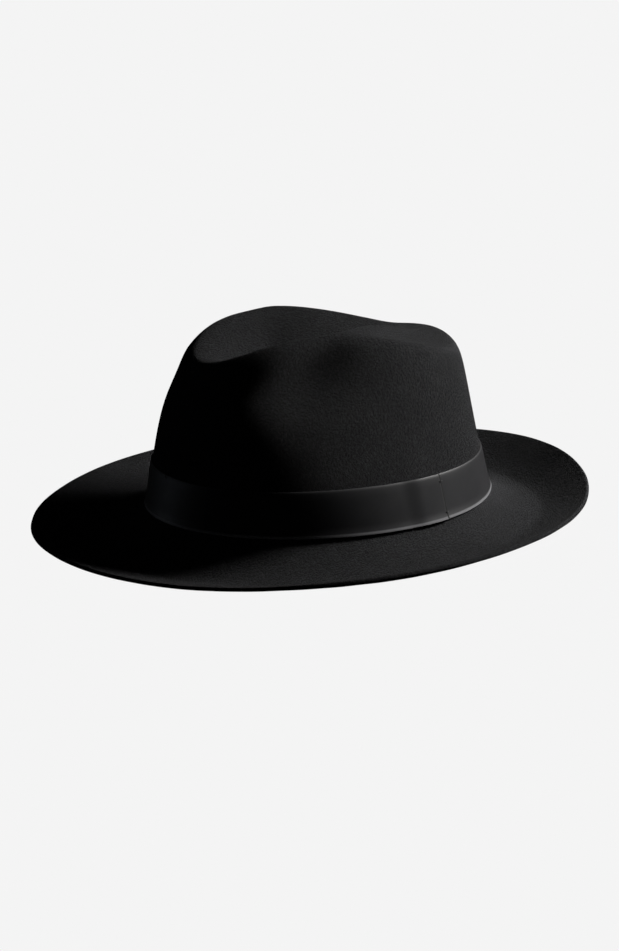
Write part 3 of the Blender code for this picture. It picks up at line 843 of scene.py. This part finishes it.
def sweatband_bow():
    """A small flat bow at the back of the sweatband, drawn in at the middle by its knot."""
    seat = SWEATBAND_FACE + 2 * FIT_GAP + PATCH_THICKNESS
    knot_wall = BOW_THICKNESS + FIT_GAP
    middle = seat + BOW_THICKNESS + knot_wall + BOW_HALF_DEPTH
    place = crown_frame(0.0, PATCH_BASE + 0.35 * PATCH_HEIGHT, middle)
    outline = []
    for turn in even(0.0, 2 * math.pi, 72)[:-1]:
        x = BOW_HALF_LENGTH * math.copysign(abs(math.cos(turn)) ** 0.55, math.cos(turn))
        open_share = 0.35 + 0.65 * min(abs(x) / (0.5 * BOW_HALF_LENGTH), 1.0) ** 1.5
        y = BOW_HALF_DEPTH * open_share * math.copysign(abs(math.sin(turn)) ** 0.7, math.sin(turn))
        outline.append((x, y))

    def loop_height(x):
        return BOW_HALF_HEIGHT * (0.62 + 0.38 * min(abs(x) / (0.45 * BOW_HALF_LENGTH), 1.0) ** 1.3)

    bow = ribbon_loop("ribbon_bow", outline, loop_height, place, Matrix.Identity(4))
    bow_finish = tape_finish("black_bow_ribbon", (0.008, 0.008, 0.010), (0.022, 0.022, 0.026))
    settle(bow, bow_finish, "bow_ribbon", "sweatband_bow")
    rise = 0.62 * BOW_HALF_HEIGHT + FIT_GAP + 0.5 * BOW_THICKNESS
    depth = 0.75 * BOW_HALF_DEPTH + knot_wall
    knot_outline = []
    for turn in even(0.0, 2 * math.pi, 32)[:-1]:
        x = rise * math.copysign(abs(math.cos(turn)) ** 0.5, math.cos(turn))
        y = depth * math.copysign(abs(math.sin(turn)) ** 0.5, math.sin(turn))
        knot_outline.append((x, y))
    knot = ribbon_loop("ribbon_knot", knot_outline, lambda x: KNOT_HALF_LENGTH, place,
                       Matrix.Rotation(math.pi / 2, 4, "Y"))
    settle(knot, bow_finish, "bow_ribbon", "bow_knot")


def size_label():
    """A woven label with the hat's size, read with the hat upside down."""
    item = small_panel("woven_size_label", LABEL_ANGLE, LABEL_BASE, LABEL_HALF_WIDTH, LABEL_HEIGHT,
                       SWEATBAND_FACE + FIT_GAP, LABEL_THICKNESS, 0.0008)
    item.data.materials.append(tape_finish("pale_label_cloth", (0.62, 0.59, 0.50), (0.80, 0.77, 0.69)))
    deselect_all()
    bpy.ops.object.text_add()
    number = bpy.context.active_object
    number.data.body = "57"
    number.data.size = 0.0085
    number.data.align_x = "CENTER"
    number.data.align_y = "CENTER"
    number.data.extrude = 0.00006
    bpy.ops.object.convert(target="MESH")
    number = bpy.context.active_object
    middle = LABEL_BASE + 0.5 * LABEL_HEIGHT
    face = SWEATBAND_FACE + FIT_GAP + LABEL_THICKNESS
    for vertex in number.data.vertices:
        x, y, z = vertex.co
        vertex.co = crown_at(LABEL_ANGLE - x / HEAD_HALF_LENGTH, middle - y, face + z)
    merge_seams(number)
    number.data.materials.append(
        thread_finish("black_label_thread", (0.012, 0.012, 0.014), (0.03, 0.03, 0.034)))
    deselect_all()
    number.select_set(True)
    item.select_set(True)
    bpy.context.view_layer.objects.active = item
    bpy.ops.object.join()
    settle(item, None, "label_paper", "size_label")
    return item


def lining_fold(angle, share):
    """Soft upright folds in the satin, gathered most at the tip's seam."""
    wave = math.sin(23 * angle + 1.3 * math.sin(3 * angle)) + 0.5 * math.sin(41 * angle + 0.7)
    strength = 0.00012 + 0.00055 * share ** 2
    return strength * (1.5 + wave)


def lining_wall():
    """The lining's side, tucked behind the sweatband and rising to the tip."""
    def place(angle, share):
        return crown_at(angle, lining_height(angle, share), LINING_INSET + lining_fold(angle, share))

    item = laid_strip("satin_lining_side", even(0.0, 2 * math.pi, 420), even(0.0, 1.0, 16), place)
    merge_seams(item)
    outward = item.data.polygons[0].normal.dot(wall_normal(0.0, 0.03)) > 0
    thicken(item, LINING_THICKNESS, not outward)
    settle(item, satin_finish("black_satin", (0.010, 0.010, 0.014), (0.026, 0.026, 0.032)),
           "lining_satin", "lining_wall")
    return item


def lining_tip():
    """The oval panel that closes the lining under the dent."""
    def edge(angle):
        return crown_at(angle, lining_height(angle, 1.0), LINING_INSET + LINING_THICKNESS + 0.0022)

    deselect_all()
    bpy.ops.mesh.primitive_circle_add(vertices=144, radius=1 / 24, fill_type="TRIFAN")
    item = bpy.context.active_object
    item.name = "satin_lining_tip"
    edit(item)
    pick_vertices(item, lambda spot: spot.length > 0.5 / 24)
    for ring in range(1, 24):
        bpy.ops.mesh.extrude_edges_move()
        bpy.ops.transform.resize(value=((ring + 1) / ring, (ring + 1) / ring, 1.0))
    leave_edit()
    centre = (edge(0.0) + edge(math.pi)) / 2
    for vertex in item.data.vertices:
        share = min(vertex.co.length, 1.0)
        angle = math.atan2(vertex.co.x, vertex.co.y)
        pucker = 0.00035 * share ** 6 * math.sin(36 * angle)
        slack = 0.0004 * noise.noise(vertex.co * 2.5) * (1 - share * share)
        vertex.co = centre.lerp(edge(angle), share)
        vertex.co.z += slack + pucker - LINING_SAG * (1 - share * share)
    if item.data.polygons[0].normal.z < 0:
        item.data.flip_normals()
    thicken(item, LINING_THICKNESS, False)
    settle(item, satin_finish("black_tip_satin", (0.010, 0.010, 0.014), (0.024, 0.024, 0.030)),
           "tip_satin", "lining_tip")
    return item


def lining_piping():
    """A satin piping over the seam between the lining's side and its tip."""
    below = LINING_THICKNESS + FIT_GAP + PIPING_RADIUS + LINING_SAG
    points = []
    for angle in even(0.0, 2 * math.pi, 240)[:-1]:
        inset = LINING_INSET + LINING_THICKNESS + FIT_GAP + PIPING_RADIUS + 0.0011
        points.append(crown_at(angle, lining_height(angle, 1.0) - below, inset))
    item = thread("satin_piping", points, PIPING_RADIUS, True, 3)
    return settle(item, satin_finish("grey_piping_satin", (0.020, 0.020, 0.024), (0.042, 0.042, 0.048)),
                  "piping_satin", "lining_piping")


def band_tacks():
    """Thread tacks: two hold down the lap's end, and three hold the ribbon's top edge."""
    finish = thread_finish("black_sewing_thread", (0.006, 0.006, 0.007), (0.018, 0.018, 0.020))
    radius = 0.00018
    lift = FIT_GAP + radius
    under = FIT_GAP + RIBBON_THICKNESS + 0.0001
    over = under + FIT_GAP + RIBBON_THICKNESS
    half_turn = 0.5 * TACK_LENGTH / FELT_HALF_LENGTH
    laps = (("lap_tack_upper", BAND_TOP - TACK_INSET), ("lap_tack_lower", BAND_BASE + TACK_INSET))
    for name, height in laps:
        points = []
        for part in even(-1.0, 1.0, 16):
            depth = over if part > -0.1 else under
            bow = lift - 0.8 * lift * abs(part) ** 4
            points.append(crown_at(BAND_OUTER_END + part * half_turn, height, -(depth + bow)))
        settle(thread("thread_" + name, points, radius, False), finish, "black_thread", name)
    edges = (("band_tack_front", math.pi), ("band_tack_right", -math.pi / 2),
             ("band_tack_back", 0.0))
    for name, angle in edges:
        points = []
        for part in even(-1.0, 1.0, 16):
            height = BAND_TOP + part * 0.5 * TACK_LENGTH
            depth = under if part < 0.25 else 0.0
            bow = lift - 0.8 * lift * abs(part) ** 4
            points.append(crown_at(angle, height, -(depth + bow)))
        settle(thread("thread_" + name, points, radius, False), finish, "black_thread", name)


# ---- Camera, lights and studio

CAMERA_TARGET = Vector((-0.00545, 0.00270, 0.02527))
CAMERA_DISTANCE = 1.600
CAMERA_AZIMUTH = math.radians(60.69)
CAMERA_ELEVATION = math.radians(16.17)
CAMERA_ROLL = math.radians(1.85)
CAMERA_LENS = 105.27
KEY_DIRECTION = (0.83, 0.56, -0.02)
KEY_DISTANCE = 0.70
KEY_SIZE = 0.20
KEY_POWER = 6.0
FILL_DIRECTION = (-1.0, 0.12, -0.30)
FILL_DISTANCE = 2.4
FILL_SIZE = 0.8
FILL_POWER = 0.6
STUDIO_COLOUR = (0.905, 0.905, 0.905, 1.0)
STUDIO_RADIUS = 9.0
FLOOR_LEVEL = -0.0005


def add_camera():
    back = Vector((
        math.sin(CAMERA_AZIMUTH) * math.cos(CAMERA_ELEVATION),
        -math.cos(CAMERA_AZIMUTH) * math.cos(CAMERA_ELEVATION),
        math.sin(CAMERA_ELEVATION),
    ))
    data = bpy.data.cameras.new("camera")
    data.lens = CAMERA_LENS
    data.sensor_width = 36.0
    camera = bpy.data.objects.new("camera", data)
    camera.location = CAMERA_TARGET + back * CAMERA_DISTANCE
    aim = (-back).to_track_quat("-Z", "Y").to_matrix().to_4x4()
    roll = Matrix.Rotation(-CAMERA_ROLL, 4, "Z")
    camera.matrix_world = Matrix.Translation(camera.location) @ aim @ roll
    bpy.context.scene.collection.objects.link(camera)
    bpy.context.scene.camera = camera
    return camera


def add_light(name, direction, distance, size, power, colour):
    """A square soft light, a distance away in a direction, that looks at the crown."""
    data = bpy.data.lights.new(name, "AREA")
    data.shape = "SQUARE"
    data.size = size
    data.energy = power
    data.color = colour
    light = bpy.data.objects.new(name, data)
    toward = direction.normalized()
    light.location = Vector((0.0, 0.0, 0.06)) + toward * distance
    light.rotation_euler = toward.to_track_quat("Z", "Y").to_euler()
    bpy.context.scene.collection.objects.link(light)
    return light


def screen_direction(camera, right, up, toward):
    """A direction given by how it looks through the camera."""
    axes = camera.matrix_world.to_3x3()
    return axes @ Vector((right, up, toward))


def add_studio(camera):
    add_light("key_softbox", screen_direction(camera, *KEY_DIRECTION), KEY_DISTANCE, KEY_SIZE,
              KEY_POWER, (1.0, 0.99, 0.97))
    add_light("left_fill", screen_direction(camera, *FILL_DIRECTION), FILL_DISTANCE, FILL_SIZE,
              FILL_POWER, (0.80, 0.88, 1.0))
    world = bpy.data.worlds.new("studio")
    world.use_nodes = True
    world.node_tree.nodes["Background"].inputs["Color"].default_value = STUDIO_COLOUR
    world.node_tree.nodes["Background"].inputs["Strength"].default_value = 0.004
    bpy.context.scene.world = world


def add_floor():
    deselect_all()
    bpy.ops.mesh.primitive_uv_sphere_add(segments=96, ring_count=48, radius=STUDIO_RADIUS)
    floor = bpy.context.active_object
    floor.name = "studio_floor"
    for vertex in floor.data.vertices:
        vertex.co.z = max(vertex.co.z, FLOOR_LEVEL)
    floor.data.flip_normals()
    material = bpy.data.materials.new("pale_studio")
    material.use_nodes = True
    tree = material.node_tree
    tree.nodes.clear()
    glow = tree.nodes.new("ShaderNodeEmission")
    glow.inputs["Color"].default_value = STUDIO_COLOUR
    clear = tree.nodes.new("ShaderNodeBsdfTransparent")
    facing = tree.nodes.new("ShaderNodeNewGeometry")
    mix = tree.nodes.new("ShaderNodeMixShader")
    output = tree.nodes.new("ShaderNodeOutputMaterial")
    tree.links.new(facing.outputs["Backfacing"], mix.inputs[0])
    tree.links.new(glow.outputs[0], mix.inputs[1])
    tree.links.new(clear.outputs[0], mix.inputs[2])
    tree.links.new(mix.outputs[0], output.inputs[0])
    floor.data.materials.append(material)
    floor.visible_diffuse = False
    floor.visible_glossy = False
    floor.visible_shadow = False
    floor.visible_transmission = False


noise.seed_set(UNEVENNESS_SEED)
camera = add_camera()
add_studio(camera)
add_floor()
bpy.context.scene.view_settings.view_transform = "Standard"
felt_body()
hatband()
band_tacks()
sweatband()
sweatband_reed()
reed_tape()
sweatband_stitching()
rear_patch()
sweatband_bow()
size_label()
lining_wall()
lining_tip()
lining_piping()
